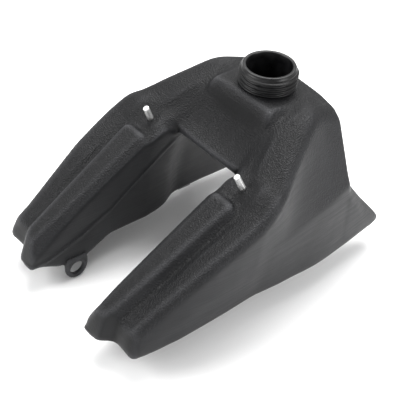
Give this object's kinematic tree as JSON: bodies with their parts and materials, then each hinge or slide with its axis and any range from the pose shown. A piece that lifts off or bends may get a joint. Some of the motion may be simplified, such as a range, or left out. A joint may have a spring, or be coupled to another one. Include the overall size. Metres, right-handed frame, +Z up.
{
  "type": "motorcycle fuel tank",
  "caption": "Black moulded off-road motorcycle fuel tank with straddling rear legs, threaded filler neck, metal studs, strap eyelets and a lever fuel tap underneath.",
  "frame": {"origin": "middle of the length and width, at the level of the eyelets' lowest points", "axes": "+X towards the steering head, +Y the rider's left, +Z up"},
  "size_m": [0.4514, 0.29, 0.2638],
  "materials": {
    "black_polyethylene": "black rotomoulded polyethylene, pebble grain on top and satin on the sides",
    "zinc_plated_steel": "bright zinc-plated",
    "brass": "machined",
    "cast_alloy": "as-cast satin",
    "fuel_rubber": "matt black",
    "natural_nylon": "fine woven mesh"
  },
  "bodies": {
    "tank": {"tank_shell": "black_polyethylene", "stud_left": "zinc_plated_steel", "stud_right": "zinc_plated_steel", "tap_gasket": "fuel_rubber", "tap_body": "cast_alloy", "valve_seal": "fuel_rubber", "wave_washer": "zinc_plated_steel", "lever_plate": "zinc_plated_steel", "plate_screw_front": "zinc_plated_steel", "plate_screw_rear": "zinc_plated_steel", "tap_insert_front": "brass", "tap_insert_rear": "brass", "bolt_washer_front": "zinc_plated_steel", "bolt_washer_rear": "zinc_plated_steel", "mount_bolt_front": "zinc_plated_steel", "mount_bolt_rear": "zinc_plated_steel", "standpipe": "brass", "strainer": "natural_nylon", "strainer_cap": "natural_nylon"},
    "lever": {"tap_lever": "cast_alloy"}
  },
  "joints": [
    {"name": "tap_lever_turn", "type": "hinge", "parent": "tank", "child": "lever", "pos_m": [0.0643, 0.114, 0.0195], "axis": [0, 1, 0], "range_deg": [-180, 0]}
  ]
}
